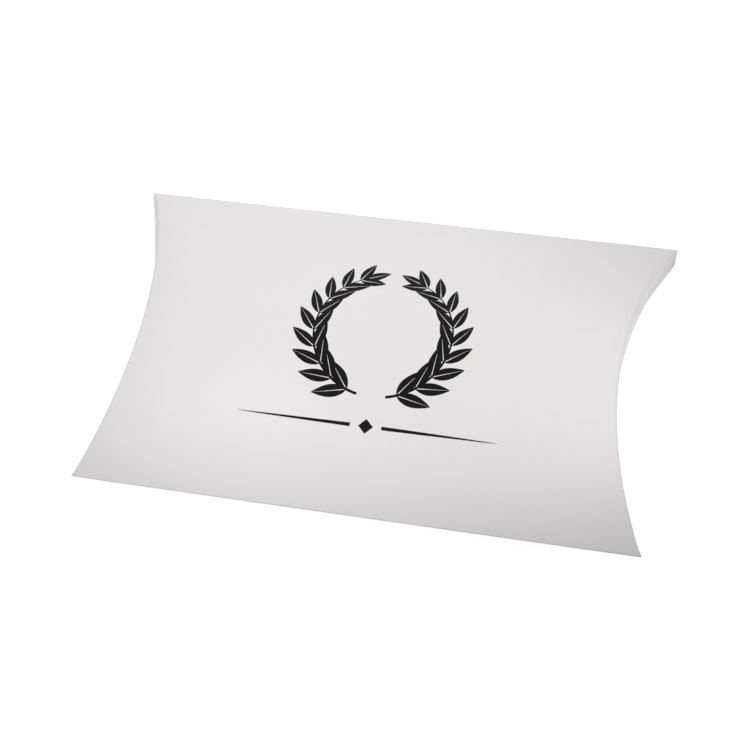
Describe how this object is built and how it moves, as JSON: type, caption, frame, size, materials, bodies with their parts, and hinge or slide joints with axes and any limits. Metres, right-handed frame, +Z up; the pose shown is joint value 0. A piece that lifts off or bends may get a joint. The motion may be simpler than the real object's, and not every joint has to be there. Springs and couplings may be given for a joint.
{
  "type": "pillow box",
  "caption": "Bowed paperboard pillow box with curved-crease end flaps that fold outward, a glued side seam and thumb notches.",
  "frame": {"origin": "middle of the box at its lowest line, the crown of the bottom panel", "axes": "+X along the length to the right end, +Y across it to the glued seam, +Z up"},
  "size_m": [0.1996, 0.119, 0.03],
  "materials": {
    "board": "satin",
    "adhesive": "satin"
  },
  "bodies": {
    "tube": {"top_panel": "board", "bottom_panel": "board", "front_fold": "board", "back_fold": "board", "glue_flap": "board", "glue_line": "adhesive", "left_outer_crease": "board", "left_inner_crease": "board", "right_outer_crease": "board", "right_inner_crease": "board"},
    "left_outer": {"left_outer_flap": "board"},
    "left_inner": {"left_inner_flap": "board"},
    "right_outer": {"right_outer_flap": "board"},
    "right_inner": {"right_inner_flap": "board"}
  },
  "joints": [
    {"name": "left_outer_hinge", "type": "hinge", "parent": "tube", "child": "left_outer", "pos_m": [-0.085, 0, 0.03], "axis": [0, 1, 0], "range_deg": [0, 90]},
    {"name": "left_inner_hinge", "type": "hinge", "parent": "tube", "child": "left_inner", "pos_m": [-0.0841, 0, 0], "axis": [0, -1, 0], "range_deg": [0, 40.5]},
    {"name": "right_outer_hinge", "type": "hinge", "parent": "tube", "child": "right_outer", "pos_m": [0.085, 0, 0.03], "axis": [0, -1, 0], "range_deg": [0, 90]},
    {"name": "right_inner_hinge", "type": "hinge", "parent": "tube", "child": "right_inner", "pos_m": [0.0841, 0, 0], "axis": [0, 1, 0], "range_deg": [0, 40.5]}
  ],
  "couplings": [
    {"joint": "left_inner_hinge", "follows": "left_outer_hinge", "ratio": 0.45},
    {"joint": "right_inner_hinge", "follows": "right_outer_hinge", "ratio": 0.45}
  ]
}
